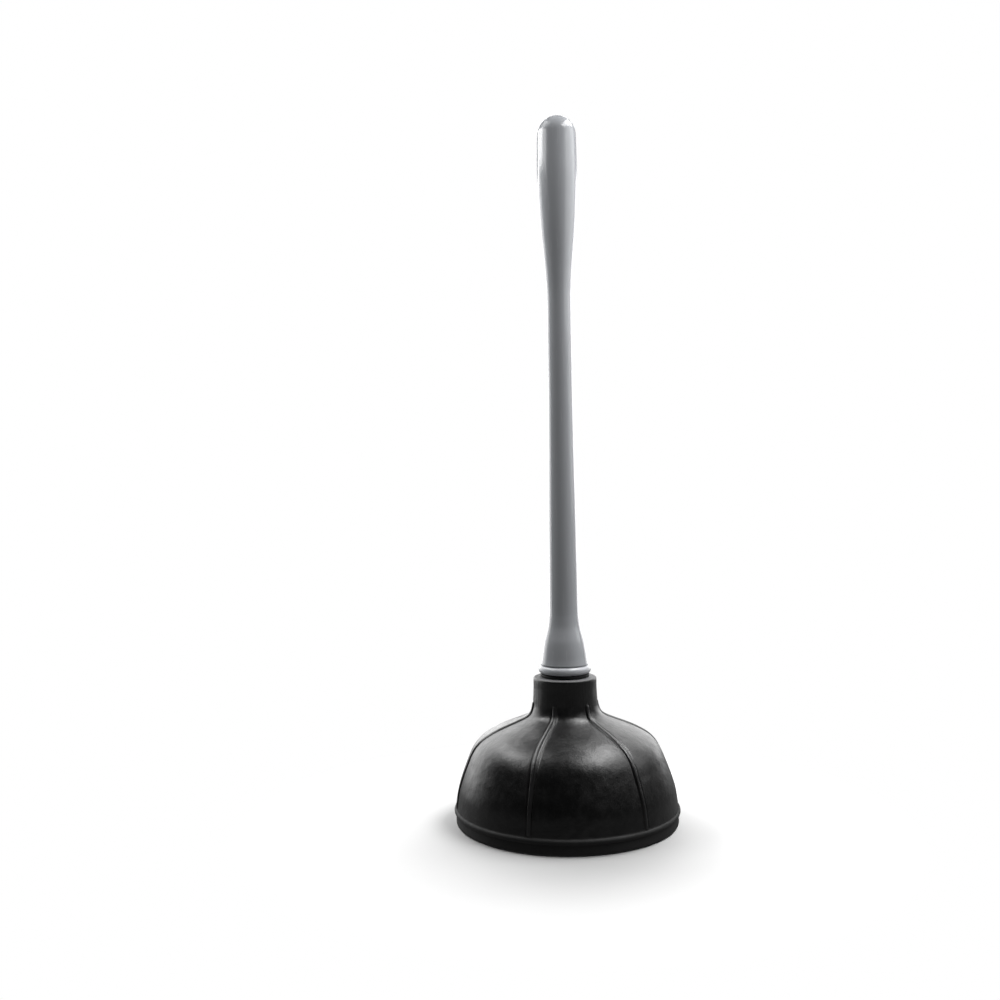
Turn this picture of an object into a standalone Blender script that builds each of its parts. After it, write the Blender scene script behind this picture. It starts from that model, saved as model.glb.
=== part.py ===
"""Toilet plunger: a ribbed rubber cup with a long hollow handle that screws into its neck.

Metres, +Z up along the handle. The origin is the centre of the rim's underside.
"""

from math import acos, cos, degrees, radians, sin, sqrt, tau

import bmesh
import bpy
from mathutils import Vector

# Fit between pieces that touch
GAP = 0.0003

# How close two points are that become one, and how short an edge is that goes
WELD = 1e-6
NO_LENGTH = 1e-7

# Rubber cup
BAND_RADIUS = 0.0715
BEAD_RADIUS = 0.0013
BEAD_CENTRE = (0.0713, 0.0081)
RIM_FOOT_ROUND = 0.0012
RIM_MOUTH_RADIUS = 0.0655
RIM_MOUTH_HEIGHT = 0.0075
NECK_RADIUS = 0.02035
NECK_TOP = 0.0925
NECK_EDGE_ROUND = 0.0013
WALL = 0.0040
CROWN_INSIDE = 0.0600
# Radius and height of the bell's outer side, from above the rim up to the neck
BELL = (
    (0.0709, 0.0140), (0.0697, 0.0220), (0.0673, 0.0300), (0.0643, 0.0380), (0.0608, 0.0460),
    (0.0567, 0.0515), (0.0513, 0.0556), (0.0432, 0.0598), (0.0329, 0.0639), (0.0265, 0.0666),
    (0.0231, 0.0692), (0.0213, 0.0734), (0.0207, 0.0790), (NECK_RADIUS, 0.0860),
)

# Ribs on the bell
RIB_COUNT = 6
RIB_START = radians(7.9)
RIB_RADIUS = 0.0013
RIB_PROUD = 0.0008
RIB_LOW, RIB_HIGH = 0.0105, 0.0767

# Screw thread, three quarters of an inch across with five turns to the inch
PITCH = 0.00508
THREAD_CREST = 0.0095
THREAD_ROOT = 0.0081
THREAD_CREST_WIDTH = 0.0012
THREAD_ROOT_WIDTH = 0.0028
THREAD_CLEARANCE = 0.00035
SPIGOT_TIP = 0.0678
SPIGOT_CORE_WALL = 0.0030
SPIGOT_END = 0.0040
THREAD_TURNS = 4
GROOVE_TURNS = 7
THREAD_SUNK = 0.0006
TIP_CHAMFER = 0.0008

# Barbs on the spigot's plug, which hold it in the handle's foot
BARB_COUNT = 3
BARB_SPACING = 0.0045
BARB_DEPTH = 0.0004

# Threaded bush in the neck
BUSH_RADIUS = 0.0130
BUSH_FLANGE_RADIUS = 0.0155
BUSH_FLANGE_THICKNESS = 0.0030
BUSH_FLANGES = (0.0700, 0.0830)
POCKET_FLOOR = 0.0665

# Washer and ring between the neck and the handle
WASHER_RADIUS = 0.0158
WASHER_THICKNESS = 0.0017
RING_RADIUS = 0.01685
RING_HEIGHT = 0.0052
RING_ROUND = 0.0024

# Handle
HANDLE_TOP = 0.4552
GRIP_RADIUS = 0.0125
HANDLE_WALL = 0.0026
SOCKET_RADIUS = 0.0095
SOCKET_DEPTH = 0.0170
SOCKET_CROWN = 0.0060
FOOT_RADIUS = 0.01535
# Height and radius of the handle's outer side, from the grip down to the foot
HANDLE = (
    (0.4350, 0.0127), (0.4220, 0.0129), (0.4100, 0.0127), (0.3950, 0.0120), (0.3800, 0.0110), (0.3640, 0.0095),
    (0.3500, 0.0084), (0.3350, 0.0078), (0.3000, 0.00785), (0.2700, 0.00795), (0.2400, 0.0082),
    (0.2000, 0.00875), (0.1600, 0.0092), (0.1360, 0.0094), (0.1300, 0.0098), (0.1250, 0.0104),
    (0.1200, 0.0116), (0.1160, 0.0127), (0.1120, 0.0135), (0.1080, 0.01415), (0.1040, 0.0147),
)

# Facets round each turned piece
CUP_STEPS = 40
STEPS = 24

WASHER_BOTTOM = NECK_TOP + GAP
WASHER_TOP = WASHER_BOTTOM + WASHER_THICKNESS
RING_BOTTOM = WASHER_TOP + GAP
RING_TOP = RING_BOTTOM + RING_HEIGHT
FOOT = RING_TOP + GAP
SOCKET_TOP = FOOT + SOCKET_DEPTH
GRIP_CENTRE = HANDLE_TOP - GRIP_RADIUS


def clear_scene():
    for obj in list(bpy.data.objects):
        bpy.data.objects.remove(obj, do_unlink=True)


def collection(name):
    made = bpy.data.collections.new(name)
    bpy.context.scene.collection.children.link(made)
    return made


def plastic(name, colour, roughness):
    """A Principled material with no metal in it."""
    made = bpy.data.materials.new(name)
    made.use_nodes = True
    shader = made.node_tree.nodes["Principled BSDF"]
    shader.inputs["Base Color"].default_value = (*colour, 1.0)
    shader.inputs["Roughness"].default_value = roughness
    shader.inputs["Metallic"].default_value = 0.0
    return made


def arc(centre, radius, start, end, count):
    """Points on an arc in the profile's plane, with its angles in degrees from outwards, anticlockwise."""
    angles = [radians(start + (end - start) * i / count) for i in range(count + 1)]
    return [(centre[0] + radius * cos(a), centre[1] + radius * sin(a)) for a in angles]


def flowing(points, per_span):
    """A Catmull-Rom curve through the points."""
    points = [Vector(p) for p in points]
    ends = [2 * points[0] - points[1], *points, 2 * points[-1] - points[-2]]
    made = []
    for a, b, c, d in zip(ends, ends[1:], ends[2:], ends[3:]):
        bend = 2 * a - 5 * b + 4 * c - d
        twist = 3 * b - a - 3 * c + d
        for i in range(per_span):
            t = i / per_span
            made.append(0.5 * (2 * b + (c - a) * t + bend * t**2 + twist * t**3))
    return [tuple(p) for p in made] + [tuple(points[-1])]


def offset(points, distance):
    """The curve's points moved square to it, towards its left as it runs."""
    points = [Vector(p) for p in points]
    made = []
    for i, here in enumerate(points):
        along = (points[min(i + 1, len(points) - 1)] - points[max(i - 1, 0)]).normalized()
        made.append((here.x - along.y * distance, here.y + along.x * distance))
    return made


def mesh_object(name, mesh, where):
    made = bpy.data.objects.new(name, mesh)
    where.objects.link(made)
    return made


def baked(obj):
    """Replaces the object's modifiers by the mesh that they make, with its doubles welded."""
    bpy.context.view_layer.update()
    graph = bpy.context.evaluated_depsgraph_get()
    mesh = bpy.data.meshes.new_from_object(obj.evaluated_get(graph))
    obj.modifiers.clear()
    obj.data = mesh
    build = bmesh.new()
    build.from_mesh(mesh)
    bmesh.ops.remove_doubles(build, verts=build.verts, dist=WELD)
    bmesh.ops.dissolve_degenerate(build, edges=build.edges, dist=NO_LENGTH)
    build.to_mesh(mesh)
    build.free()
    return obj


def turned(name, outline, where, steps=STEPS):
    """A closed outline of (radius, height) points, down its outer side first, turned about Z."""
    mesh = bpy.data.meshes.new(name)
    last = len(outline) - 1
    open_at_axis = outline[0][0] == 0 and outline[last][0] == 0
    edges = [(i, i + 1) for i in range(last)]
    if not open_at_axis:
        edges.append((last, 0))
    mesh.from_pydata([(r, 0.0, z) for r, z in outline], edges, [])
    made = mesh_object(name, mesh, where)
    screw = made.modifiers.new("Turn", "SCREW")
    screw.steps = steps
    screw.render_steps = steps
    screw.use_merge_vertices = True
    screw.merge_threshold = WELD
    return baked(made)


def thread_ridge(name, root, crest, root_width, crest_width, bottom, turns, where):
    """One right-hand helical tooth with closed ends, from below its first turn at height bottom."""
    mesh = bpy.data.meshes.new(name)
    section = [
        (root, bottom + root_width / 2),
        (crest, bottom + crest_width / 2),
        (crest, bottom - crest_width / 2),
        (root, bottom - root_width / 2),
    ]
    mesh.from_pydata([(r, 0.0, z) for r, z in section], [(0, 1), (1, 2), (2, 3), (3, 0)], [])
    made = mesh_object(name, mesh, where)
    screw = made.modifiers.new("Helix", "SCREW")
    screw.steps = STEPS
    screw.render_steps = STEPS
    screw.iterations = turns
    screw.screw_offset = PITCH
    baked(made)
    build = bmesh.new()
    build.from_mesh(made.data)
    bmesh.ops.holes_fill(build, edges=build.edges)
    bmesh.ops.recalc_face_normals(build, faces=build.faces)
    build.to_mesh(made.data)
    build.free()
    return made


def boolean(obj, other, operation):
    cut = obj.modifiers.new(f"{operation.title()} {other.name}", "BOOLEAN")
    cut.operation = operation
    cut.object = other
    cut.solver = "EXACT"


def hide(obj):
    obj.hide_render = True
    obj.display_type = "WIRE"


def finish(obj, material):
    obj.data.materials.clear()
    obj.data.materials.append(material)
    obj.data.shade_smooth()
    obj.data.set_sharp_from_angle(angle=radians(40))


def bell_foot(side):
    """Where the bead at the rim leaves the bell, on its upper side (1) or its lower side (-1)."""
    rise = sqrt(BEAD_RADIUS**2 - (BAND_RADIUS - BEAD_CENTRE[0]) ** 2)
    return (BAND_RADIUS, BEAD_CENTRE[1] + side * rise)


def bell_outside():
    """The cup's outer side from the neck down to the bead at the rim."""
    return flowing([bell_foot(1), *BELL], 2)[::-1]


def bell_inside():
    """The cup's inner side from above the rim up to the crown."""
    inside = offset([bell_foot(1), *BELL], WALL)
    return [p for p in inside if RIM_MOUTH_HEIGHT + WALL < p[1] < CROWN_INSIDE - GAP]


def cup_outline():
    edge = NECK_EDGE_ROUND
    swing = degrees(acos((BAND_RADIUS - BEAD_CENTRE[0]) / BEAD_RADIUS))
    pocket = BUSH_RADIUS + GAP
    groove = BUSH_FLANGE_RADIUS + GAP
    outline = arc((NECK_RADIUS - edge, NECK_TOP - edge), edge, 90, 0, 3)
    outline += bell_outside()
    outline += arc(BEAD_CENTRE, BEAD_RADIUS, swing, -swing, 5)[1:]
    outline += arc((BAND_RADIUS - RIM_FOOT_ROUND, RIM_FOOT_ROUND), RIM_FOOT_ROUND, 0, -90, 3)
    outline += [(RIM_MOUTH_RADIUS, 0.0), (RIM_MOUTH_RADIUS, RIM_MOUTH_HEIGHT)]
    outline += bell_inside()
    outline += [(NECK_RADIUS, CROWN_INSIDE), (0.0, CROWN_INSIDE)]
    outline += [(0.0, POCKET_FLOOR), (pocket, POCKET_FLOOR)]
    for low in BUSH_FLANGES:
        high = low + BUSH_FLANGE_THICKNESS + GAP
        outline += [(pocket, low - GAP), (groove, low - GAP), (groove, high), (pocket, high)]
    outline += [(pocket, NECK_TOP)]
    return outline


def rubber_cup(parts, cutters):
    cup = turned("rubber_cup", cup_outline(), parts, CUP_STEPS)
    path = [p for p in offset(bell_outside(), RIB_PROUD - RIB_RADIUS) if RIB_LOW < p[1] < RIB_HIGH]
    for i in range(RIB_COUNT):
        angle = RIB_START + tau * i / RIB_COUNT
        curve = bpy.data.curves.new(f"rib_{i + 1}", "CURVE")
        curve.dimensions = "3D"
        curve.bevel_depth = RIB_RADIUS
        curve.bevel_resolution = 1
        curve.use_fill_caps = True
        spline = curve.splines.new("POLY")
        spline.points.add(len(path) - 1)
        for point, (r, z) in zip(spline.points, path):
            point.co = (r * cos(angle), r * sin(angle), z, 1.0)
        rib = curve_to_mesh(mesh_object(f"rib_{i + 1}_curve", curve, cutters), f"rib_{i + 1}", cutters)
        hide(rib)
        boolean(cup, rib, "UNION")
    return cup


def curve_to_mesh(source, name, where):
    """A mesh object from the curve, with its caps welded on, in place of it."""
    bpy.context.view_layer.update()
    graph = bpy.context.evaluated_depsgraph_get()
    mesh = bpy.data.meshes.new_from_object(source.evaluated_get(graph))
    made = mesh_object(name, mesh, where)
    made.matrix_world = source.matrix_world
    bpy.data.objects.remove(source, do_unlink=True)
    build = bmesh.new()
    build.from_mesh(mesh)
    bmesh.ops.remove_doubles(build, verts=build.verts, dist=WELD)
    bmesh.ops.recalc_face_normals(build, faces=build.faces)
    build.to_mesh(mesh)
    build.free()
    return made


def threaded_bush(parts, cutters):
    bore = THREAD_ROOT + THREAD_CLEARANCE
    bottom = POCKET_FLOOR + GAP
    outline = [(bore, NECK_TOP), (BUSH_RADIUS, NECK_TOP)]
    for low in BUSH_FLANGES[::-1]:
        high = low + BUSH_FLANGE_THICKNESS
        outline += [(BUSH_RADIUS, high), (BUSH_FLANGE_RADIUS, high)]
        outline += [(BUSH_FLANGE_RADIUS, low), (BUSH_RADIUS, low)]
    outline += [(BUSH_RADIUS, bottom), (bore, bottom)]
    bush = turned("threaded_bush", outline, parts)
    groove = thread_ridge(
        "bush_groove",
        bore - THREAD_SUNK,
        THREAD_CREST + THREAD_CLEARANCE,
        THREAD_ROOT_WIDTH + 4 * THREAD_CLEARANCE,
        THREAD_CREST_WIDTH + 2 * THREAD_CLEARANCE,
        SPIGOT_TIP + THREAD_ROOT_WIDTH - PITCH,
        GROOVE_TURNS,
        cutters,
    )
    hide(groove)
    boolean(bush, groove, "DIFFERENCE")
    return bush


def barbed_plug(top, bottom):
    """The plug's side from its top down, with saw-toothed barbs whose steep sides face down."""
    crest = SOCKET_RADIUS - GAP
    root = crest - BARB_DEPTH
    side = [(root - TIP_CHAMFER, top), (root, top - TIP_CHAMFER)]
    for i in range(BARB_COUNT):
        step = top - TIP_CHAMFER - (i + 1) * BARB_SPACING
        side += [(root, step + BARB_SPACING / 2), (crest, step + GAP), (crest, step), (root, step)]
    return [*side, (root, bottom)]


def threaded_spigot(parts, cutters):
    """Plug in the handle's foot, shank through the ring, and thread in the neck, cored out from above."""
    core = THREAD_ROOT - SPIGOT_CORE_WALL
    core_floor = SPIGOT_TIP + SPIGOT_END
    outline = [(0.0, core_floor), (core, core_floor), (core, SOCKET_TOP - GAP)]
    outline += barbed_plug(SOCKET_TOP - GAP, RING_BOTTOM)
    outline += [
        (THREAD_ROOT, RING_BOTTOM),
        (THREAD_ROOT, SPIGOT_TIP + TIP_CHAMFER),
        (THREAD_ROOT - TIP_CHAMFER, SPIGOT_TIP),
        (0.0, SPIGOT_TIP),
    ]
    spigot = turned("threaded_spigot", outline, parts)
    ridge = thread_ridge(
        "spigot_thread",
        THREAD_ROOT - THREAD_SUNK,
        THREAD_CREST,
        THREAD_ROOT_WIDTH,
        THREAD_CREST_WIDTH,
        SPIGOT_TIP + THREAD_ROOT_WIDTH,
        THREAD_TURNS,
        cutters,
    )
    hide(ridge)
    boolean(spigot, ridge, "UNION")
    return spigot


def seal_washer(parts):
    hole = THREAD_CREST + THREAD_CLEARANCE
    outline = [
        (hole, WASHER_TOP),
        (WASHER_RADIUS, WASHER_TOP),
        (WASHER_RADIUS, WASHER_BOTTOM),
        (hole, WASHER_BOTTOM),
    ]
    return turned("seal_washer", outline, parts)


def collar_ring(parts):
    """A ring with a rounded outer side, round the spigot's shank. Its hole passes over the thread."""
    hole = THREAD_CREST + GAP
    middle = (RING_BOTTOM + RING_TOP) / 2
    flat = RING_HEIGHT / 2 - RING_ROUND
    outer = RING_RADIUS - RING_ROUND
    outline = [(hole, RING_TOP)]
    outline += arc((outer, middle + flat), RING_ROUND, 90, 0, 5)
    outline += arc((outer, middle - flat), RING_ROUND, 0, -90, 5)
    outline += [(hole, RING_BOTTOM)]
    return turned("collar_ring", outline, parts)


def handle_shell(parts):
    side = [(GRIP_RADIUS, GRIP_CENTRE), *((r, z) for z, r in HANDLE), (FOOT_RADIUS, FOOT)]
    hollow = [(r - HANDLE_WALL, z) for z, r in reversed(HANDLE) if z > SOCKET_TOP + SOCKET_CROWN]
    outline = arc((0.0, GRIP_CENTRE), GRIP_RADIUS, 90, 0, 7)[:-1]
    outline[0] = (0.0, HANDLE_TOP)
    outline += flowing(side, 1)
    outline += [(SOCKET_RADIUS, FOOT), (SOCKET_RADIUS, SOCKET_TOP)]
    outline += hollow
    outline += arc((0.0, GRIP_CENTRE), GRIP_RADIUS - HANDLE_WALL, 0, 90, 5)[:-1]
    outline += [(0.0, HANDLE_TOP - HANDLE_WALL)]
    return turned("handle_shell", outline, parts)


def main():
    clear_scene()
    parts = collection("toilet_plunger")
    cutters = collection("cutters")
    rubber = plastic("black_rubber", (0.008, 0.008, 0.009), 0.42)
    grey = plastic("grey_plastic", (0.23, 0.24, 0.26), 0.22)
    pale = plastic("pale_grey_plastic", (0.40, 0.41, 0.43), 0.25)
    dark = plastic("dark_plastic", (0.03, 0.03, 0.032), 0.40)
    seal = plastic("washer_rubber", (0.006, 0.006, 0.007), 0.60)
    finish(rubber_cup(parts, cutters), rubber)
    finish(threaded_bush(parts, cutters), dark)
    finish(threaded_spigot(parts, cutters), dark)
    finish(seal_washer(parts), seal)
    finish(collar_ring(parts), pale)
    finish(handle_shell(parts), grey)


main()
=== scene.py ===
"""The toilet plunger's finish: black moulded rubber cup, glossy grey handle, and the screw between."""

from math import acos, cos, degrees, hypot, pi, radians, sin, sqrt

import bmesh
import bpy
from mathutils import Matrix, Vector


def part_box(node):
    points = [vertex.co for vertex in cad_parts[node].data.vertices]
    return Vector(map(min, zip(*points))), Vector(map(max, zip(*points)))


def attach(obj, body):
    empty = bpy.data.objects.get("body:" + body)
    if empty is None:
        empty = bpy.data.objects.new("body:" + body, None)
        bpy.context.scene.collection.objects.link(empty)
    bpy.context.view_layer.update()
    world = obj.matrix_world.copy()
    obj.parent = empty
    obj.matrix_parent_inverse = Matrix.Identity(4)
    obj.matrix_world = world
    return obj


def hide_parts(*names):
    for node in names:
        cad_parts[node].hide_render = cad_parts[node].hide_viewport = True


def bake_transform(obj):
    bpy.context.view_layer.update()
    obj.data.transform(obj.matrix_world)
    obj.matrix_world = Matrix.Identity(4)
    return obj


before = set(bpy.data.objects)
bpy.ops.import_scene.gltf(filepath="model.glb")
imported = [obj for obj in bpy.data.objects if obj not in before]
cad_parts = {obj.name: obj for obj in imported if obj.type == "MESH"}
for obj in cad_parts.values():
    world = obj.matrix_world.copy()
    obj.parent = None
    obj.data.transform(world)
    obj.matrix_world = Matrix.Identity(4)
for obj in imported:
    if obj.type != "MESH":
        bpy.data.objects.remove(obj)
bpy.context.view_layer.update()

GAP = 0.0003

# Levels that the frame gives
NECK_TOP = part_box("rubber_cup")[1].z
BUSH_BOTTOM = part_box("threaded_bush")[0].z
SPIGOT_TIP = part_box("threaded_spigot")[0].z
PLUG_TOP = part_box("threaded_spigot")[1].z
WASHER_BOTTOM, WASHER_TOP = (corner.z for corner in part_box("seal_washer"))
RING_BOTTOM, RING_TOP = (corner.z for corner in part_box("collar_ring"))
FOOT, HANDLE_TOP = (corner.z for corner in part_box("handle_shell"))

# Rubber cup
BAND_RADIUS = 0.0715
BEAD_RADIUS = 0.0019
BEAD_CENTRE = (0.0707, 0.0081)
RIM_TOP = BEAD_CENTRE[1] + BEAD_RADIUS
FOOT_ROUND = 0.0012
MOUTH_RADIUS = 0.0655
MOUTH_HEIGHT = 0.0075
MOUTH_ROUND = 0.0010
NECK_RADIUS = 0.02035
NECK_ROUND = 0.0013
WALL = 0.0040
CROWN_INSIDE = 0.0600
CROWN_ROUND = 0.0040
CROWN_DROP = 0.0006
# Radius and height of the bell's outer side, from above the rim up to the neck
BELL = (
    (0.0709, 0.0140), (0.0697, 0.0220), (0.0673, 0.0300), (0.0643, 0.0380), (0.0608, 0.0460),
    (0.0567, 0.0515), (0.0513, 0.0556), (0.0432, 0.0598), (0.0329, 0.0639), (0.0265, 0.0666),
    (0.0231, 0.0692), (0.0213, 0.0734), (0.0207, 0.0790), (NECK_RADIUS, 0.0860),
)
RIB_COUNT = 6
RIB_START = radians(7.9)
RIB_HEIGHT = 0.0008
RIB_REACH = 0.0036
RIB_LOW, RIB_HIGH = 0.0100, 0.0757
RIB_FADE = 0.0015
RIB_COLUMNS, RIB_FINE_COLUMNS = 50, 24
# A rib's section, from its crest out to the plain bell: share of its reach, share of its height
RIB_SECTION = (
    (0.0, 1.0), (0.16, 0.93), (0.32, 0.52), (0.43, -0.10), (0.50, -0.34), (0.60, -0.12), (0.72, 0.0),
)
# A rib's width as a share of its reach, and how much wider it is over the shoulder of the bell
RIB_WIDTH, SHOULDER_WIDTH = 0.78, 0.42
SHOULDER_HEIGHT, SHOULDER_SPREAD = 0.055, 0.016

# Screw
PITCH = 0.00508
THREAD_CREST = 0.0095
THREAD_ROOT = 0.0081
CREST_WIDTH = 0.0012
ROOT_WIDTH = 0.0028
THREAD_CLEARANCE = 0.00035
THREAD_END = SPIGOT_TIP + ROOT_WIDTH / 2 + 4 * PITCH
CORE_RADIUS = 0.0051
CORE_FLOOR = SPIGOT_TIP + 0.0040
TIP_CHAMFER = 0.0008
BARB_COUNT = 3
BARB_SPACING = 0.0045
BARB_DEPTH = 0.0004
BUSH_RADIUS = 0.0130
FLANGE_RADIUS = 0.0155
FLANGE_THICKNESS = 0.0030
FLANGES = (0.0700, 0.0830)

# Washer, ring and handle
WASHER_RADIUS = 0.0158
RING_RADIUS = 0.01685
RING_ROUND = 0.0024
GRIP_RADIUS = 0.0125
HANDLE_WALL = 0.0026
SOCKET_RADIUS = 0.0095
SOCKET_TOP = PLUG_TOP + GAP
HOLLOW_START = SOCKET_TOP + 0.0060
FOOT_RADIUS = 0.01535
EDGE_ROUND = 0.0004
GRIP_CENTRE = HANDLE_TOP - GRIP_RADIUS
SEAM_COUNT = 2
SEAM_START = 0.0
SEAM_HEIGHT = 0.00006
SEAM_REACH = 0.0008
SEAM_COLUMNS, SEAM_FINE_COLUMNS = 60, 8
SEAM_SECTION = ((0.0, 1.0), (0.4, 0.6), (0.7, 0.0))
# Height and radius of the handle's outer side, from the grip down to the foot
HANDLE = (
    (0.4350, 0.0127), (0.4220, 0.0129), (0.4100, 0.0127), (0.3950, 0.0120), (0.3800, 0.0110),
    (0.3640, 0.0095), (0.3500, 0.0084), (0.3350, 0.0078), (0.3000, 0.00785), (0.2700, 0.00795),
    (0.2400, 0.0082), (0.2000, 0.00875), (0.1600, 0.0092), (0.1360, 0.0094), (0.1300, 0.0098),
    (0.1250, 0.0104), (0.1200, 0.0116), (0.1160, 0.0127), (0.1120, 0.0135), (0.1080, 0.01415),
    (0.1040, 0.0147),
)

# How finely the pieces are made: steps along an outline, columns round the axis, and the angle, in
# degrees, up to which an edge is shaded smooth
CUP_STEP, CUP_INNER_STEP, HANDLE_STEP, THREAD_STEP = 0.0009, 0.0030, 0.0025, 0.00018
RING_COLUMNS, WASHER_COLUMNS, THREAD_COLUMNS = 128, 96, 96
SMOOTH_EDGE, THREAD_SMOOTH_EDGE = 55, 28
WELD = 2e-6
NO_LENGTH = 1e-7
LEAST_DIVISOR = 1e-9
# Added to a thread's turns, so that their number is never below nought
SPARE_TURNS = 100

# Colours of the rubber and the plastics
RUBBER_BLACK, RUBBER_BLOOM = (0.0006, 0.0006, 0.0007), (0.0060, 0.0058, 0.0060)
RUBBER_SPECK, RUBBER_WORN = (0.020, 0.020, 0.021), (0.022, 0.022, 0.023)
NECK_TOP_GREY = (0.150, 0.150, 0.154)
HANDLE_DEEP, HANDLE_PALE = (0.300, 0.309, 0.325), (0.338, 0.348, 0.364)
HANDLE_MARK = (0.440, 0.450, 0.462)
RING_DEEP, RING_PALE = (0.38, 0.39, 0.41), (0.44, 0.45, 0.47)
SCREW_DEEP, SCREW_PALE = (0.020, 0.020, 0.022), (0.034, 0.034, 0.036)
WASHER_DEEP, WASHER_PALE = (0.004, 0.004, 0.004), (0.009, 0.009, 0.009)
WHITE = (1.0, 1.0, 1.0, 1.0)
# Heights between which the rubber turns from the bell's smooth skin to the neck's streaked one
NECK_SKIN = (0.070, 0.080)
# Over how much height the rim's dullness ends, and how far below the neck's top its paler grey starts
# and
# # is full
RIM_SOFTENING = 0.0010
TOP_GREY_DEPTHS = (0.0009, 0.0001)

# Studio: where the floor turns plain white, the painted shadow on it near the plunger, and what it and
# # the room throw back. The painted shadow is darkest a little in front of the plunger
FLOOR_SIZE = 8.0
FLOOR_DROP = 0.0002
WHITE_FLOOR = (0.13, 0.22)
TO_SHADE = (0.0, 0.06, 0.0)
SHADE_REACH = 0.13
FLOOR_PAINTED_SHADOW = (0.35, 0.35, 0.35)
FLOOR_COLOUR = (0.62, 0.62, 0.62)
FLOOR_GLOW = 0.22
ROOM_GLOW = 0.01
# Lamps that hang level overhead: name, size, glow, place
OVERHEAD = (
    ("right_ceiling", (0.28, 0.80), 14.0, (0.38, -0.02, 0.85)),
    ("left_ceiling", (0.36, 0.40), 4.0, (-0.40, 0.05, 0.85)),
)
# Upright softboxes: name, degrees round from the front to the right, distance, height of the lower and
# the upper edge, width, glow
SOFTBOXES = (
    ("right_upper", 82, 0.55, 0.60, 0.80, 0.80, 3.6),
    ("right_middle", 80, 0.55, 0.40, 0.60, 0.75, 2.6),
    ("right_lower", 94, 0.58, 0.20, 0.40, 0.30, 2.4),
    ("right_rear", 153, 0.60, 0.02, 0.60, 0.60, 2.6),
    ("left_upper", -105, 0.55, 0.60, 0.80, 0.90, 7.5),
    ("left_spot", -104, 0.57, 0.60, 0.80, 0.20, 8.0),
    ("left_rear", -142, 0.60, 0.02, 0.60, 0.72, 3.3),
    ("rear", 180, 0.62, 0.60, 0.80, 0.20, 8.0),
)
CAMERA_PLACE = (-0.0402, -0.668, 0.2072)
CAMERA_ROLL = 0.9
LENS, SENSOR_WIDTH = 37.12, 36.0


# Outlines: points (radius, height) in the plane of the axis

def arc(centre, radius, start, end, count):
    """Points on an arc, with its angles in degrees from outwards, anticlockwise."""
    angles = [radians(start + (end - start) * i / count) for i in range(count + 1)]
    return [(centre[0] + radius * cos(a), centre[1] + radius * sin(a)) for a in angles]


def flowing(points, per_span):
    """A Catmull-Rom curve through the points."""
    points = [Vector(p) for p in points]
    ends = [2 * points[0] - points[1], *points, 2 * points[-1] - points[-2]]
    made = []
    for a, b, c, d in zip(ends, ends[1:], ends[2:], ends[3:]):
        bend = 2 * a - 5 * b + 4 * c - d
        twist = 3 * b - a - 3 * c + d
        for i in range(per_span):
            t = i / per_span
            made.append(0.5 * (2 * b + (c - a) * t + bend * t**2 + twist * t**3))
    return [tuple(p) for p in made] + [tuple(points[-1])]


def offset(points, distance):
    """The curve's points moved square to it, towards its left as it runs."""
    points = [Vector(p) for p in points]
    made = []
    for i, here in enumerate(points):
        along = (points[min(i + 1, len(points) - 1)] - points[max(i - 1, 0)]).normalized()
        made.append((here.x - along.y * distance, here.y + along.x * distance))
    return made


def spaced(points, longest):
    """The same line with points added, so that its steps are about the given length or shorter."""
    made = [points[0]]
    for a, b in zip(points, points[1:]):
        run, rise = b[0] - a[0], b[1] - a[1]
        parts = max(1, round(hypot(run, rise) / longest))
        made += [(a[0] + run * i / parts, a[1] + rise * i / parts) for i in range(1, parts + 1)]
    return made


# Node helpers

def add(tree, kind, inputs=(), **settings):
    """A node of this kind. Each input is a value, or the socket that feeds it."""
    node = tree.nodes.new(kind)
    for name, value in settings.items():
        setattr(node, name, value)
    for key, value in dict(inputs).items():
        if isinstance(value, bpy.types.NodeSocket):
            tree.links.new(value, node.inputs[key])
        else:
            node.inputs[key].default_value = value
    return node


def maths(tree, operation, *values):
    """The result of a sum on values or sockets."""
    return add(tree, "ShaderNodeMath", enumerate(values), operation=operation).outputs[0]


def smooth_step(tree, value, start, end):
    """0 before start and 1 after end, with a soft change between them."""
    ranges = {"Value": value, "From Min": start, "From Max": end}
    return add(tree, "ShaderNodeMapRange", ranges, interpolation_type="SMOOTHSTEP").outputs["Result"]


# Turned pieces by Geometry Nodes

def new_tree(name, sizes):
    """A Geometry Nodes tree with named float inputs, and its group's input sockets by name."""
    tree = bpy.data.node_groups.new(name, "GeometryNodeTree")
    tree.interface.new_socket("Outline", in_out="INPUT", socket_type="NodeSocketGeometry")
    for label in sizes:
        tree.interface.new_socket(label, in_out="INPUT", socket_type="NodeSocketFloat")
    tree.interface.new_socket("Finish", in_out="INPUT", socket_type="NodeSocketMaterial")
    tree.interface.new_socket("Piece", in_out="OUTPUT", socket_type="NodeSocketGeometry")
    entry = tree.nodes.new("NodeGroupInput")
    return tree, {socket.name: socket for socket in entry.outputs}


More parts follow.
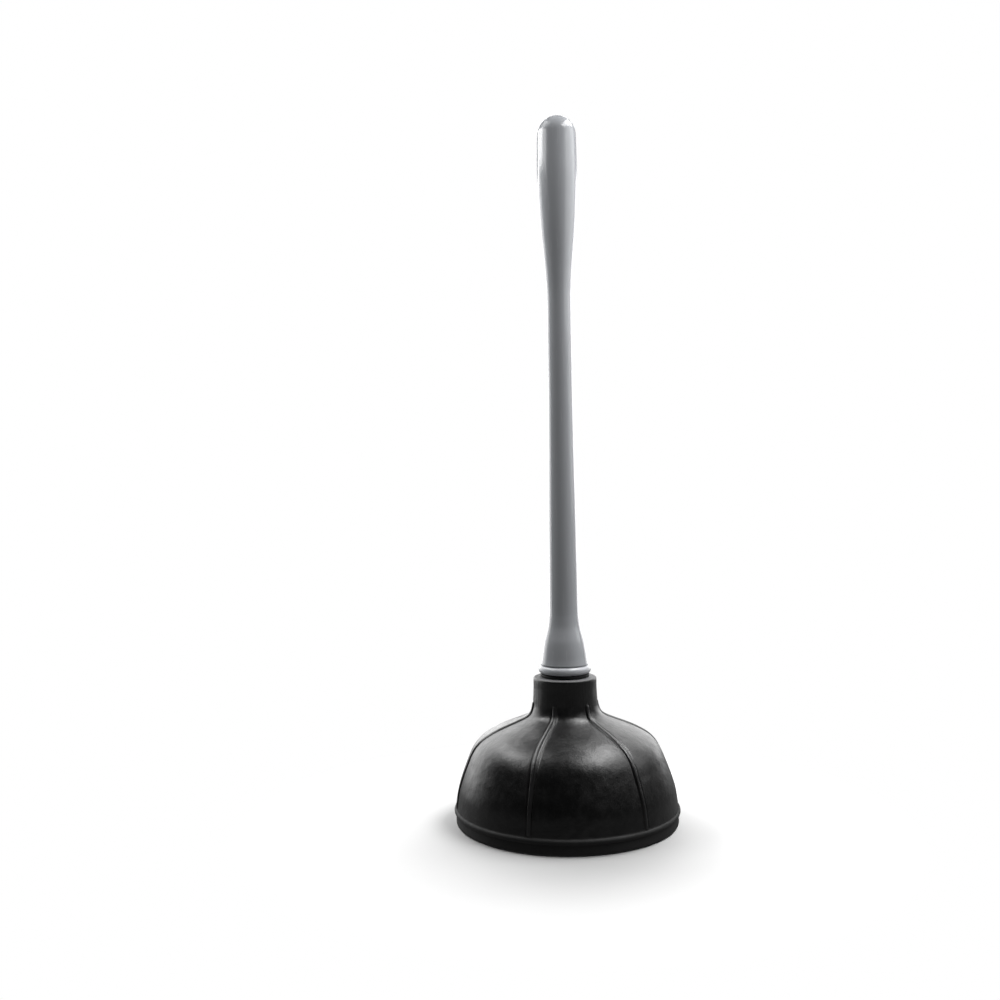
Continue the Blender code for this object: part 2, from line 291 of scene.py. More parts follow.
def sheet_to_turn(tree, outline, columns):
    """A grid with a column for each place round the axis and a row for each point of the outline."""
    rows = add(tree, "GeometryNodeAttributeDomainSize", {"Geometry": outline}).outputs["Point Count"]
    last_row = maths(tree, "SUBTRACT", rows, 1)
    sizes = {
        "Size X": columns, "Size Y": last_row,
        "Vertices X": maths(tree, "ADD", columns, 1), "Vertices Y": rows,
    }
    grid = add(tree, "GeometryNodeMeshGrid", sizes).outputs["Mesh"]
    place = add(tree, "GeometryNodeInputPosition").outputs[0]
    split = add(tree, "ShaderNodeSeparateXYZ", {0: place})
    half_across, half_along = maths(tree, "DIVIDE", columns, 2), maths(tree, "DIVIDE", last_row, 2)
    column = maths(tree, "ROUND", maths(tree, "ADD", split.outputs["X"], half_across))
    row = maths(tree, "ROUND", maths(tree, "ADD", split.outputs["Y"], half_along))
    return grid, column, row


def point_of(tree, outline, row):
    """Radius and height of the outline at a row."""
    place = add(tree, "GeometryNodeInputPosition").outputs[0]
    inputs = {"Geometry": outline, "Value": place, "Index": row}
    found = add(tree, "GeometryNodeSampleIndex", inputs, data_type="FLOAT_VECTOR", clamp=True)
    split = add(tree, "ShaderNodeSeparateXYZ", {0: found.outputs[0]})
    return split.outputs["X"], split.outputs["Z"]


def share_of(tree, outline, row, name):
    """The outline's own attribute at a row."""
    stored = add(tree, "GeometryNodeInputNamedAttribute", {"Name": name}, data_type="FLOAT")
    inputs = {"Geometry": outline, "Value": stored.outputs["Attribute"], "Index": row}
    return add(tree, "GeometryNodeSampleIndex", inputs, data_type="FLOAT", clamp=True).outputs[0]


def close_piece(tree, grid, radius, height, angle, relief, finish):
    """Wraps the grid round the axis, welds it, stores the relief and gives it its finish."""
    x = maths(tree, "MULTIPLY", radius, maths(tree, "COSINE", angle))
    y = maths(tree, "MULTIPLY", radius, maths(tree, "SINE", angle))
    place = add(tree, "ShaderNodeCombineXYZ", {"X": x, "Y": y, "Z": height}).outputs[0]
    stored = add(
        tree, "GeometryNodeStoreNamedAttribute", {"Geometry": grid, "Name": "relief", "Value": relief},
        data_type="FLOAT", domain="POINT",
    )
    wrapped = add(tree, "GeometryNodeSetPosition", {"Geometry": stored.outputs[0], "Position": place})
    welded = add(tree, "GeometryNodeMergeByDistance", {"Geometry": wrapped.outputs[0], "Distance": WELD})
    smooth = add(tree, "GeometryNodeSetShadeSmooth", {"Geometry": welded.outputs[0]})
    whole = add(tree, "GeometryNodeRealizeInstances", {"Geometry": smooth.outputs[0]})
    done = add(tree, "GeometryNodeSetMaterial", {"Geometry": whole.outputs[0], "Material": finish})
    exit_node = tree.nodes.new("NodeGroupOutput")
    tree.links.new(done.outputs[0], exit_node.inputs["Piece"])


RIDGE_SIZES = (
    "Ridge Count", "Columns per Ridge", "Fine Columns", "Start Angle", "Reach", "Height", "Least Radius",
)


def ridged_turning(section):
    """A turned piece with ridges of this section down its outer side, each with a rounded upper end."""
    tree, sizes = new_tree("Ridged turning", RIDGE_SIZES)
    outline = sizes["Outline"]
    per_ridge = sizes["Columns per Ridge"]
    columns = maths(tree, "MULTIPLY", sizes["Ridge Count"], per_ridge)
    grid, column, row = sheet_to_turn(tree, outline, columns)
    radius, height = point_of(tree, outline, row)
    before = point_of(tree, outline, maths(tree, "SUBTRACT", row, 1))
    after = point_of(tree, outline, maths(tree, "ADD", row, 1))

    # Columns are close together near each ridge, and as far from its middle there at any radius
    ridge = maths(tree, "FLOOR", maths(tree, "DIVIDE", column, per_ridge))
    in_sector = maths(tree, "SUBTRACT", column, maths(tree, "MULTIPLY", ridge, per_ridge))
    from_middle = maths(tree, "SUBTRACT", in_sector, maths(tree, "DIVIDE", per_ridge, 2))
    aside = maths(tree, "ABSOLUTE", from_middle)
    fine_half = maths(tree, "DIVIDE", sizes["Fine Columns"], 2)
    near = maths(tree, "MINIMUM", maths(tree, "DIVIDE", aside, fine_half), 1)
    coarse_half = maths(tree, "SUBTRACT", maths(tree, "DIVIDE", per_ridge, 2), fine_half)
    past_fine = maths(tree, "MAXIMUM", maths(tree, "SUBTRACT", aside, fine_half), 0)
    far = maths(tree, "DIVIDE", past_fine, coarse_half)
    least_radius = maths(tree, "MAXIMUM", radius, sizes["Least Radius"])
    near_angle = maths(tree, "DIVIDE", sizes["Reach"], least_radius)
    sector = maths(tree, "DIVIDE", 2 * pi, sizes["Ridge Count"])
    far_angle = maths(tree, "SUBTRACT", maths(tree, "DIVIDE", sector, 2), near_angle)
    near_part = maths(tree, "MULTIPLY", near, near_angle)
    swing = maths(tree, "ADD", near_part, maths(tree, "MULTIPLY", far, far_angle))
    angle = maths(tree, "MULTIPLY_ADD", ridge, sector, sizes["Start Angle"])
    angle = maths(tree, "MULTIPLY_ADD", maths(tree, "SIGN", from_middle), swing, angle)

    # The section is read by the distance from the ridge's middle line, or above its end from that end
    past_end = maths(tree, "DIVIDE", share_of(tree, outline, row, "past_end"), sizes["Reach"])
    squared = maths(tree, "MULTIPLY_ADD", near, near, maths(tree, "MULTIPLY", past_end, past_end))
    width = share_of(tree, outline, row, "ridge_width")
    reached = maths(tree, "DIVIDE", maths(tree, "SQRT", squared), width)
    # The curve holds heights from -1 to 1 as 0 to 1, and ends level with the plain surface
    curve = add(tree, "ShaderNodeFloatCurve", {"Value": maths(tree, "MINIMUM", reached, 1)})
    points = curve.mapping.curves[0].points
    for point, (x, y) in zip(points, (section[0], section[-1])):
        point.location = (x, 0.5 + y / 2)
    for x, y in section[1:-1]:
        points.new(x, 0.5 + y / 2)
    points.new(1.0, 0.5)
    curve.mapping.update()
    relief = maths(tree, "MULTIPLY", maths(tree, "SUBTRACT", curve.outputs[0], 0.5), 2)
    relief = maths(tree, "MULTIPLY", relief, share_of(tree, outline, row, "ridged"))

    # The outline runs down its outer side, so its left is outwards
    run = maths(tree, "SUBTRACT", after[0], before[0])
    drop = maths(tree, "SUBTRACT", before[1], after[1])
    squares = maths(tree, "MULTIPLY_ADD", run, run, maths(tree, "MULTIPLY", drop, drop))
    length = maths(tree, "MAXIMUM", maths(tree, "SQRT", squares), LEAST_DIVISOR)
    proud = maths(tree, "DIVIDE", maths(tree, "MULTIPLY", relief, sizes["Height"]), length)
    radius = maths(tree, "MULTIPLY_ADD", proud, drop, radius)
    height = maths(tree, "MULTIPLY_ADD", proud, run, height)
    close_piece(tree, grid, radius, height, angle, relief, sizes["Finish"])
    return tree


THREAD_SIZES = ("Columns", "Pitch", "Foot Height", "Root Width", "Crest Width", "Depth")


def threaded_turning():
    """A turned piece with one right-hand tooth wound on it, or a groove for one wound in it."""
    tree, sizes = new_tree("Threaded turning", THREAD_SIZES)
    outline = sizes["Outline"]
    grid, column, row = sheet_to_turn(tree, outline, sizes["Columns"])
    radius, height = point_of(tree, outline, row)
    turn = maths(tree, "DIVIDE", column, sizes["Columns"])
    above = maths(tree, "SUBTRACT", height, sizes["Foot Height"])
    turns = maths(tree, "SUBTRACT", maths(tree, "DIVIDE", above, sizes["Pitch"]), turn)
    phase = maths(tree, "FRACT", maths(tree, "ADD", turns, SPARE_TURNS + 0.5))
    from_crest = maths(tree, "ABSOLUTE", maths(tree, "SUBTRACT", phase, 0.5))
    aside = maths(tree, "MULTIPLY", from_crest, sizes["Pitch"])
    half_root = maths(tree, "DIVIDE", sizes["Root Width"], 2)
    half_crest = maths(tree, "DIVIDE", sizes["Crest Width"], 2)
    flank = {
        "Value": aside, "From Min": half_crest, "From Max": half_root, "To Min": 1.0, "To Max": 0.0,
    }
    relief = add(tree, "ShaderNodeMapRange", flank).outputs["Result"]
    relief = maths(tree, "MULTIPLY", relief, share_of(tree, outline, row, "threaded"))
    radius = maths(tree, "MULTIPLY_ADD", relief, sizes["Depth"], radius)
    angle = maths(tree, "MULTIPLY", turn, 2 * pi)
    close_piece(tree, grid, radius, height, angle, relief, sizes["Finish"])
    return tree


def outline_object(name, outline, shares):
    """The outline as a chain of points, with the named values that a tree reads at each."""
    mesh = bpy.data.meshes.new(name)
    links = [(i, i + 1) for i in range(len(outline) - 1)]
    mesh.from_pydata([(r, 0.0, z) for r, z in outline], links, [])
    for label, values in shares.items():
        mesh.attributes.new(label, "FLOAT", "POINT").data.foreach_set("value", values)
    made = bpy.data.objects.new(name, mesh)
    bpy.context.scene.collection.objects.link(made)
    return made


def keep_made_mesh(obj):
    """Gives the object the mesh that its modifier makes, and takes the modifier off."""
    bpy.context.view_layer.update()
    graph = bpy.context.evaluated_depsgraph_get()
    mesh = bpy.data.meshes.new_from_object(obj.evaluated_get(graph))
    obj.modifiers.clear()
    obj.data = mesh


def made_by(tree, obj, sizes, finish, sharp=SMOOTH_EDGE):
    """Runs the tree on the object and keeps the mesh that it makes."""
    modifier = obj.modifiers.new(tree.name, "NODES")
    modifier.node_group = tree
    values = {name: float(size) for name, size in sizes.items()}
    values["Finish"] = finish
    for socket in tree.interface.items_tree:
        if socket.in_out == "INPUT" and socket.name in values:
            modifier[socket.identifier] = values[socket.name]
    keep_made_mesh(obj)
    settle(obj, sharp)


def settle(obj, sharp):
    """Faces turned outwards, shaded smooth, with an edge where the surface turns sharply."""
    build = bmesh.new()
    build.from_mesh(obj.data)
    bmesh.ops.remove_doubles(build, verts=build.verts, dist=WELD)
    bmesh.ops.dissolve_degenerate(build, edges=build.edges, dist=NO_LENGTH)
    bmesh.ops.recalc_face_normals(build, faces=build.faces)
    build.to_mesh(obj.data)
    build.free()
    obj.data.shade_smooth()
    obj.data.set_sharp_from_angle(angle=radians(sharp))


def turned(name, outline, steps, finish):
    """A closed outline turned about the plunger's axis."""
    obj = outline_object(name, [*outline, outline[0]], {})
    screw = obj.modifiers.new("Turn", "SCREW")
    screw.steps = steps
    screw.render_steps = steps
    screw.use_merge_vertices = True
    screw.merge_threshold = WELD
    keep_made_mesh(obj)
    obj.data.materials.clear()
    obj.data.materials.append(finish)
    settle(obj, SMOOTH_EDGE)
    return obj


# The pieces

def bell_foot(side):
    """Where the bead at the rim leaves the bell, on its upper side (1) or its lower side (-1)."""
    rise = sqrt(BEAD_RADIUS**2 - (BAND_RADIUS - BEAD_CENTRE[0]) ** 2)
    return (BAND_RADIUS, BEAD_CENTRE[1] + side * rise)


def cup_outside():
    """The cup's outer side, from the edge of the neck's top down to the rim's foot."""
    swing = degrees(acos((BAND_RADIUS - BEAD_CENTRE[0]) / BEAD_RADIUS))
    neck = arc((NECK_RADIUS - NECK_ROUND, NECK_TOP - NECK_ROUND), NECK_ROUND, 90, 0, 5)
    bell = flowing([bell_foot(1), *BELL], 6)[::-1]
    bead = arc(BEAD_CENTRE, BEAD_RADIUS, swing, -swing, 10)
    foot = arc((BAND_RADIUS - FOOT_ROUND, FOOT_ROUND), FOOT_ROUND, 0, -90, 5)
    return spaced(neck + bell + bead[1:] + foot, CUP_STEP)


def cup_inside():
    """The rim's flat, the inner side of the bell up to its crown, and the neck's pocket."""
    inner = offset([bell_foot(1), *BELL], WALL)
    inner = [p for p in inner if MOUTH_HEIGHT + WALL < p[1] < CROWN_INSIDE - CROWN_ROUND]
    mouth = arc((MOUTH_RADIUS + MOUTH_ROUND, MOUTH_ROUND), MOUTH_ROUND, -90, -180, 3)
    crown = [(NECK_RADIUS + CROWN_ROUND, CROWN_INSIDE - CROWN_DROP), (NECK_RADIUS, CROWN_INSIDE)]
    bell = flowing([(MOUTH_RADIUS, MOUTH_HEIGHT), *inner, *crown], 4)
    pocket = BUSH_RADIUS + GAP
    groove = FLANGE_RADIUS + GAP
    floor = BUSH_BOTTOM - GAP
    hollow = [(0.0, CROWN_INSIDE), (0.0, floor), (pocket, floor)]
    for low in FLANGES:
        high = low + FLANGE_THICKNESS + GAP
        hollow += [(pocket, low - GAP), (groove, low - GAP), (groove, high), (pocket, high)]
    hollow += [(pocket, NECK_TOP), (NECK_RADIUS - NECK_ROUND, NECK_TOP)]
    return spaced(mouth + bell + hollow, CUP_INNER_STEP)


def cup(tree, finish):
    """The rubber cup, whose ribs fade out above the rim and end in a rounded tip on the neck."""
    outside = cup_outside()
    outline = outside + cup_inside()
    ridged, past_end, width = [], [], []
    for i, (_, height) in enumerate(outline):
        risen = min(max((height - RIB_LOW) / RIB_FADE, 0.0), 1.0)
        ridged.append(risen if i < len(outside) else 0.0)
        past_end.append(max(height - RIB_HIGH, 0.0))
        from_shoulder = (height - SHOULDER_HEIGHT) / SHOULDER_SPREAD
        width.append(RIB_WIDTH + SHOULDER_WIDTH / (1.0 + from_shoulder * from_shoulder))
    shares = {"ridged": ridged, "past_end": past_end, "ridge_width": width}
    obj = outline_object("plunger_cup", outline, shares)
    sizes = {
        "Ridge Count": RIB_COUNT, "Columns per Ridge": RIB_COLUMNS, "Fine Columns": RIB_FINE_COLUMNS,
        "Start Angle": RIB_START, "Reach": RIB_REACH, "Height": RIB_HEIGHT, "Least Radius": NECK_RADIUS,
    }
    made_by(tree, obj, sizes, finish)
    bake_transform(obj)
    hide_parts("rubber_cup")


def handle(tree, finish):
    """The hollow handle, with a faint parting line down each side."""
    dome = arc((0.0, GRIP_CENTRE), GRIP_RADIUS, 90, 0, 24)[:-1]
    dome[0] = (0.0, HANDLE_TOP)
    side = [(GRIP_RADIUS, GRIP_CENTRE), *((r, z) for z, r in HANDLE), (FOOT_RADIUS, FOOT + EDGE_ROUND)]
    outer = spaced(dome + flowing(side, 5), HANDLE_STEP)
    foot = arc((FOOT_RADIUS - EDGE_ROUND, FOOT + EDGE_ROUND), EDGE_ROUND, 0, -90, 3)[1:]
    inner = [(SOCKET_RADIUS, FOOT), (SOCKET_RADIUS, SOCKET_TOP)]
    inner += [(r - HANDLE_WALL, z) for z, r in reversed(HANDLE) if z > HOLLOW_START]
    inner += arc((0.0, GRIP_CENTRE), GRIP_RADIUS - HANDLE_WALL, 0, 90, 8)[:-1]
    inner += [(0.0, HANDLE_TOP - HANDLE_WALL)]
    outline = outer + foot + inner
    shares = {
        "ridged": [1.0] * len(outer) + [0.0] * (len(foot) + len(inner)),
        "past_end": [0.0] * len(outline),
        "ridge_width": [1.0] * len(outline),
    }
    obj = outline_object("plunger_handle", outline, shares)
    sizes = {
        "Ridge Count": SEAM_COUNT, "Columns per Ridge": SEAM_COLUMNS, "Fine Columns": SEAM_FINE_COLUMNS,
        "Start Angle": SEAM_START, "Reach": SEAM_REACH, "Height": SEAM_HEIGHT,
        "Least Radius": GRIP_RADIUS / 4,
    }
    made_by(tree, obj, sizes, finish)
    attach(obj, "handle")
    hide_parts("handle_shell")


def ring(finish):
    """The rounded ring under the handle's foot."""
    hole = THREAD_CREST + GAP
    flat = (RING_TOP - RING_BOTTOM) / 2 - RING_ROUND
    middle = (RING_BOTTOM + RING_TOP) / 2
    across = RING_RADIUS - RING_ROUND
    outline = [(hole, RING_TOP)]
    outline += arc((across, middle + flat), RING_ROUND, 90, 0, 12)
    outline += arc((across, middle - flat), RING_ROUND, 0, -90, 12)
    outline += [(hole, RING_BOTTOM)]
    obj = turned("neck_ring", outline, RING_COLUMNS, finish)
    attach(obj, "handle")
    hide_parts("collar_ring")


def washer(finish):
    """The flat washer between the ring and the top of the neck."""
    hole = THREAD_CREST + THREAD_CLEARANCE
    across = WASHER_RADIUS - EDGE_ROUND
    outline = [(hole, WASHER_TOP)]
    outline += arc((across, WASHER_TOP - EDGE_ROUND), EDGE_ROUND, 90, 0, 4)
    outline += arc((across, WASHER_BOTTOM + EDGE_ROUND), EDGE_ROUND, 0, -90, 4)
    outline += [(hole, WASHER_BOTTOM)]
    obj = turned("rubber_washer", outline, WASHER_COLUMNS, finish)
    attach(obj, "seal")
    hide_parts("seal_washer")


def thread_sizes(clearance):
    """The tooth of the spigot, or with a clearance the groove of the bush."""
    return {
        "Columns": THREAD_COLUMNS, "Pitch": PITCH, "Foot Height": SPIGOT_TIP + ROOT_WIDTH,
        "Root Width": ROOT_WIDTH + 4 * clearance, "Crest Width": CREST_WIDTH + 2 * clearance,
        "Depth": THREAD_CREST - THREAD_ROOT,
    }


def fading(value, start, end, fade):
    """1 between two heights, and less towards each of them."""
    return min(max(min(value - start, end - value) / fade, 0.0), 1.0)


def spigot(tree, finish):
    """The screw: a barbed plug in the handle's foot, and a threaded shank below it."""
    crest = SOCKET_RADIUS - GAP
    root = crest - BARB_DEPTH
    plug = [(root - TIP_CHAMFER, PLUG_TOP), (root, PLUG_TOP - TIP_CHAMFER)]
    for i in range(BARB_COUNT):
        step = PLUG_TOP - TIP_CHAMFER - (i + 1) * BARB_SPACING
        plug += [(root, step + BARB_SPACING / 2), (crest, step + GAP), (crest, step), (root, step)]
    core = [(0.0, CORE_FLOOR), (CORE_RADIUS, CORE_FLOOR), (CORE_RADIUS, PLUG_TOP)]
    low = SPIGOT_TIP + TIP_CHAMFER
    shank = spaced([(THREAD_ROOT, RING_BOTTOM), (THREAD_ROOT, low)], THREAD_STEP)
    tip = [(THREAD_ROOT - TIP_CHAMFER, SPIGOT_TIP), (0.0, SPIGOT_TIP)]
    outline = core + plug + [(root, RING_BOTTOM)] + shank + tip
    threaded = [
        fading(z, low, THREAD_END, ROOT_WIDTH) if r == THREAD_ROOT else 0.0 for r, z in outline
    ]
    obj = outline_object("screw_spigot", outline, {"threaded": threaded})
    made_by(tree, obj, thread_sizes(0.0), finish, THREAD_SMOOTH_EDGE)
    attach(obj, "handle")
    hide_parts("threaded_spigot")


def bush(tree, finish):
    """The hard sleeve in the neck, with two flanges outside and the female thread inside."""
    bore = THREAD_ROOT + THREAD_CLEARANCE
    outline = [(bore, NECK_TOP), (BUSH_RADIUS, NECK_TOP)]
    for low in FLANGES[::-1]:
        high = low + FLANGE_THICKNESS
        outline += [(BUSH_RADIUS, high), (FLANGE_RADIUS, high), (FLANGE_RADIUS, low), (BUSH_RADIUS, low)]
    outline += [(BUSH_RADIUS, BUSH_BOTTOM), (bore, BUSH_BOTTOM)]
    outline += spaced([(bore, BUSH_BOTTOM), (bore, NECK_TOP)], THREAD_STEP)[1:]
    threaded = [1.0 if r == bore else 0.0 for r, _ in outline]
    obj = outline_object("screw_bush", outline, {"threaded": threaded})
    made_by(tree, obj, thread_sizes(THREAD_CLEARANCE), finish, THREAD_SMOOTH_EDGE)
    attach(obj, "neck")
    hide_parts("threaded_bush")


# Finishes

def finish_named(name, **constants):
    """A material with constant values on its shader, and the node tree to draw its pattern in."""
    made = bpy.data.materials.new(name)
    made.use_nodes = True
    tree = made.node_tree
    shader = tree.nodes["Principled BSDF"]
    for label, value in constants.items():
        shader.inputs[label.replace("_", " ")].default_value = value
    place = add(tree, "ShaderNodeTexCoord").outputs["Object"]
    return made, tree, shader, place


def noise(tree, place, grain, detail=3.0, stretch=(1.0, 1.0, 1.0)):
    """Cloudy noise, from 0 to 1, whose patches are about the given size in metres."""
    scaled = add(tree, "ShaderNodeMapping", {"Vector": place, "Scale": stretch}).outputs[0]
    inputs = {"Vector": scaled, "Scale": 1 / grain, "Detail": detail}
    return add(tree, "ShaderNodeTexNoise", inputs).outputs["Fac"]


def between(tree, share, low, high):
    """A value from low to high by a share from 0 to 1."""
    ranges = {"Value": share, "To Min": low, "To Max": high}
    return add(tree, "ShaderNodeMapRange", ranges).outputs["Result"]


def mixed(tree, share, first, second):
    """A colour from the first to the second by a share."""
    node = tree.nodes.new("ShaderNodeMix")
    node.data_type = "RGBA"
    sockets = (node.inputs[0], node.inputs[6], node.inputs[7])
    for socket, value in zip(sockets, (share, first, second)):
        if isinstance(value, bpy.types.NodeSocket):
            tree.links.new(value, socket)
        else:
            socket.default_value = value if isinstance(value, float) else (*value, 1.0)
    return node.outputs[2]


def raised(tree, height, depth, below=None):
    """A bump of the given depth in metres, on top of another."""
    inputs = {"Height": height, "Distance": depth, "Strength": 1.0}
    if below is not None:
        inputs["Normal"] = below
    return add(tree, "ShaderNodeBump", inputs).outputs[0]


def cup_rubber():
    """Black moulded rubber: grainy, a little uneven, duller at the rim and paler grey on top of the
    neck.
    """
    made, tree, shader, place = finish_named("cup_rubber", Specular_IOR_Level=0.5)
    split = add(tree, "ShaderNodeSeparateXYZ", {0: place})
    height = split.outputs["Z"]
    grain = noise(tree, place, 0.0006, 2.0)
    mottle = noise(tree, place, 0.0050, 4.0)
    clouds = noise(tree, place, 0.0220, 3.0)
    specks = smooth_step(tree, noise(tree, place, 0.0011, 1.0), 0.68, 0.80)
    angle = maths(tree, "ARCTAN2", split.outputs["Y"], split.outputs["X"])
    around = add(tree, "ShaderNodeCombineXYZ", {"X": angle, "Z": height}).outputs[0]
    streaks = noise(tree, around, 0.05, 3.0, (1.0, 1.0, 0.6))
    on_neck = smooth_step(tree, height, *NECK_SKIN)
    on_rim = smooth_step(tree, height, RIM_TOP + RIM_SOFTENING, RIM_TOP)
    on_top = smooth_step(tree, height, NECK_TOP - TOP_GREY_DEPTHS[0], NECK_TOP - TOP_GREY_DEPTHS[1])
    crest = add(tree, "ShaderNodeAttribute", attribute_name="relief").outputs["Fac"]
    worn = maths(tree, "MULTIPLY", smooth_step(tree, crest, 0.5, 1.0), mottle)

    patches = smooth_step(tree, clouds, 0.42, 0.70)
    bloom = maths(tree, "MULTIPLY", patches, smooth_step(tree, mottle, 0.40, 0.66))
    colour = mixed(tree, bloom, RUBBER_BLACK, RUBBER_BLOOM)
    colour = mixed(tree, maths(tree, "MULTIPLY", specks, 0.5), colour, RUBBER_SPECK)
    colour = mixed(tree, maths(tree, "MULTIPLY", worn, 0.6), colour, RUBBER_WORN)
    # The neck's flat top is painted a paler grey
    top_grey = maths(tree, "MULTIPLY", on_top, between(tree, grain, 0.4, 1.0))
    colour = mixed(tree, top_grey, colour, NECK_TOP_GREY)
    tree.links.new(colour, shader.inputs["Base Color"])

    rough = maths(tree, "MULTIPLY_ADD", on_top, 0.25, between(tree, mottle, 0.26, 0.44))
    rough = maths(tree, "MULTIPLY_ADD", on_rim, 0.38, rough)
    tree.links.new(rough, shader.inputs["Roughness"])

    normal = raised(tree, clouds, 0.00045)
    normal = raised(tree, mottle, 0.00022, normal)
    normal = raised(tree, maths(tree, "MULTIPLY", streaks, on_neck), 0.00030, normal)
    normal = raised(tree, grain, 0.000075, normal)
    normal = raised(tree, maths(tree, "MULTIPLY", grain, on_top), 0.00010, normal)
    tree.links.new(normal, shader.inputs["Normal"])
    return made


def handle_plastic():
    """Mid-grey moulded plastic with a clear gloss, faint flow lines and fine handling marks."""
    made, tree, shader, place = finish_named("handle_plastic", Specular_IOR_Level=0.3)
    flow = noise(tree, place, 0.0100, 3.0, (1.0, 1.0, 0.12))
    cloud = noise(tree, place, 0.0400, 2.0)
    marks = smooth_step(tree, noise(tree, place, 0.0012, 2.0, (1.0, 1.0, 0.05)), 0.60, 0.74)
    peel = noise(tree, place, 0.0016, 2.0)
    colour = mixed(tree, cloud, HANDLE_DEEP, HANDLE_PALE)
    colour = mixed(tree, maths(tree, "MULTIPLY", marks, 0.25), colour, HANDLE_MARK)
    tree.links.new(colour, shader.inputs["Base Color"])
    rough = maths(tree, "MULTIPLY_ADD", marks, 0.08, between(tree, flow, 0.14, 0.20))
    tree.links.new(rough, shader.inputs["Roughness"])
    normal = raised(tree, flow, 0.00010)
    normal = raised(tree, peel, 0.000006, normal)
    tree.links.new(normal, shader.inputs["Normal"])
    return made


def ring_plastic():
    """Pale grey plastic with a soft gloss and faint turning lines."""
    made, tree, shader, place = finish_named("ring_plastic", Specular_IOR_Level=0.5)
    lines = noise(tree, place, 0.0030, 2.0, (0.15, 0.15, 6.0))
    cloud = noise(tree, place, 0.0080, 3.0)
    tree.links.new(mixed(tree, cloud, RING_DEEP, RING_PALE), shader.inputs["Base Color"])
    tree.links.new(between(tree, cloud, 0.24, 0.34), shader.inputs["Roughness"])
    tree.links.new(raised(tree, lines, 0.00002), shader.inputs["Normal"])
    return made


def screw_plastic():
    """Dark grey plastic, as it comes out of the mould, with slight sink marks."""
    made, tree, shader, place = finish_named("screw_plastic", Specular_IOR_Level=0.45)
    cloud = noise(tree, place, 0.0060, 3.0)
    grain = noise(tree, place, 0.0005, 2.0)
    tree.links.new(mixed(tree, cloud, SCREW_DEEP, SCREW_PALE), shader.inputs["Base Color"])
    tree.links.new(between(tree, cloud, 0.34, 0.46), shader.inputs["Roughness"])
    normal = raised(tree, cloud, 0.00010)
    tree.links.new(raised(tree, grain, 0.000012, normal), shader.inputs["Normal"])
    return made


def washer_rubber():
    """Matt black sheet rubber."""
    made, tree, shader, place = finish_named("washer_rubber", Specular_IOR_Level=0.25)
    cloud = noise(tree, place, 0.0030, 3.0)
    grain = noise(tree, place, 0.0004, 2.0)
    tree.links.new(mixed(tree, cloud, WASHER_DEEP, WASHER_PALE), shader.inputs["Base Color"])
    tree.links.new(between(tree, grain, 0.55, 0.75), shader.inputs["Roughness"])
    tree.links.new(raised(tree, grain, 0.00004), shader.inputs["Normal"])
    return made


# The studio

def glowing(tree, strength):
    """A plain white glow."""
    return add(tree, "ShaderNodeEmission", {"Color": WHITE, "Strength": strength}).outputs[0]


def floor():
    """A floor with a painted shadow round the plunger, pure white further off, and dim in reflections.
    """
    bpy.ops.mesh.primitive_plane_add(size=FLOOR_SIZE, location=(0, 0, -FLOOR_DROP))
    obj = bpy.context.object
    obj.name = "studio_floor"
    made = bpy.data.materials.new("floor_white")
    made.use_nodes = True
    tree = made.node_tree
    tree.nodes.clear()
    place = add(tree, "ShaderNodeTexCoord").outputs["Object"]
    distance = add(tree, "ShaderNodeVectorMath", {0: place}, operation="LENGTH").outputs["Value"]
    away = smooth_step(tree, distance, *WHITE_FLOOR)
    # Painted shadow: the floor's grey deepens towards a point a little in front of the plunger
    moved = add(tree, "ShaderNodeVectorMath", {0: place, 1: TO_SHADE}, operation="ADD").outputs[0]
    shade = add(tree, "ShaderNodeVectorMath", {0: moved}, operation="LENGTH").outputs["Value"]
    grey = mixed(tree, smooth_step(tree, shade, 0.0, SHADE_REACH), FLOOR_PAINTED_SHADOW, FLOOR_COLOUR)
    lit = add(tree, "ShaderNodeBsdfDiffuse", {"Color": grey}).outputs[0]
    shown = add(tree, "ShaderNodeMixShader", {0: away, 1: lit, 2: glowing(tree, 1.0)}).outputs[0]
    seen = add(tree, "ShaderNodeLightPath").outputs["Is Camera Ray"]
    dim = glowing(tree, FLOOR_GLOW)
    mix = add(tree, "ShaderNodeMixShader", {0: seen, 1: dim, 2: shown}).outputs[0]
    tree.links.new(mix, tree.nodes.new("ShaderNodeOutputMaterial").inputs["Surface"])
    obj.data.materials.append(made)


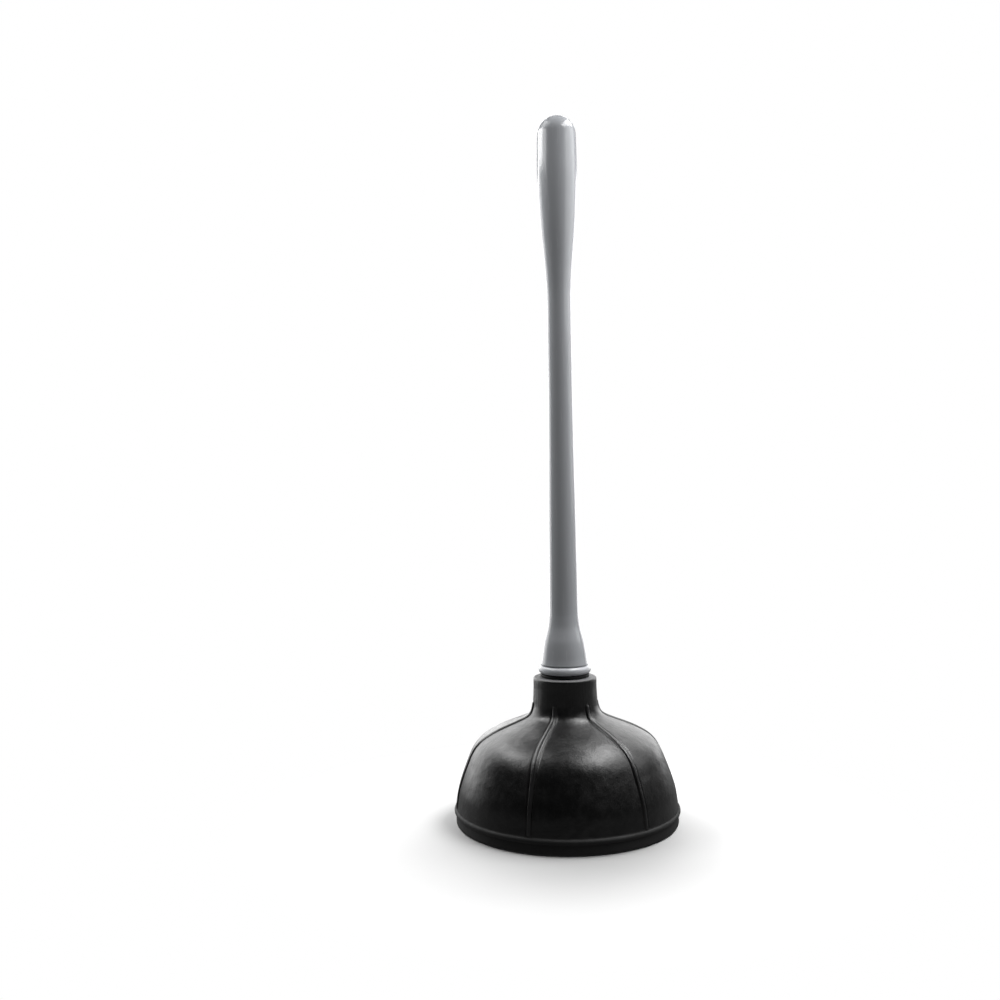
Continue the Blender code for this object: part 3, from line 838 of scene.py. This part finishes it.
def lamp(name, size, glow, location, rotation=(0.0, 0.0, 0.0)):
    """A rectangular light of an even glow, which the camera doesn't see."""
    data = bpy.data.lights.new(name, "AREA")
    data.shape = "RECTANGLE"
    data.size, data.size_y = size
    data.energy = glow * pi * size[0] * size[1]
    obj = bpy.data.objects.new(name, data)
    bpy.context.scene.collection.objects.link(obj)
    obj.location = location
    obj.rotation_euler = rotation
    obj.visible_camera = False


def softbox(name, side, distance, low, high, width, glow):
    """An upright light at so many degrees round from the front, between two heights."""
    turn = radians(side)
    place = (distance * sin(turn), -distance * cos(turn), (low + high) / 2)
    lamp(name, (width, high - low), glow, place, (radians(90), 0.0, turn))


def studio():
    """Lamps over and beside the plunger, most of them behind it, and a dark room that shows white."""
    for row in OVERHEAD:
        lamp(*row)
    for row in SOFTBOXES:
        softbox(*row)
    world = bpy.data.worlds.new("studio_air")
    bpy.context.scene.world = world
    world.use_nodes = True
    tree = world.node_tree
    tree.nodes.clear()
    seen = add(tree, "ShaderNodeLightPath").outputs["Is Camera Ray"]
    strength = maths(tree, "MAXIMUM", seen, ROOM_GLOW)
    air = add(tree, "ShaderNodeBackground", {"Color": WHITE, "Strength": strength}).outputs[0]
    tree.links.new(air, tree.nodes.new("ShaderNodeOutputWorld").inputs["Surface"])


def camera():
    """In front and a little to the left, level with the lower third of the handle."""
    data = bpy.data.cameras.new("camera")
    data.lens = LENS
    data.sensor_width = SENSOR_WIDTH
    obj = bpy.data.objects.new("camera", data)
    bpy.context.scene.collection.objects.link(obj)
    obj.location = CAMERA_PLACE
    obj.rotation_euler = (radians(90), radians(CAMERA_ROLL), 0.0)
    bpy.context.scene.camera = obj


def main():
    camera()
    bpy.context.scene.view_settings.view_transform = "Standard"
    studio()
    floor()
    ribs = ridged_turning(RIB_SECTION)
    seams = ridged_turning(SEAM_SECTION)
    screw = threaded_turning()
    threads = screw_plastic()
    cup(ribs, cup_rubber())
    handle(seams, handle_plastic())
    ring(ring_plastic())
    washer(washer_rubber())
    spigot(screw, threads)
    bush(screw, threads)


main()
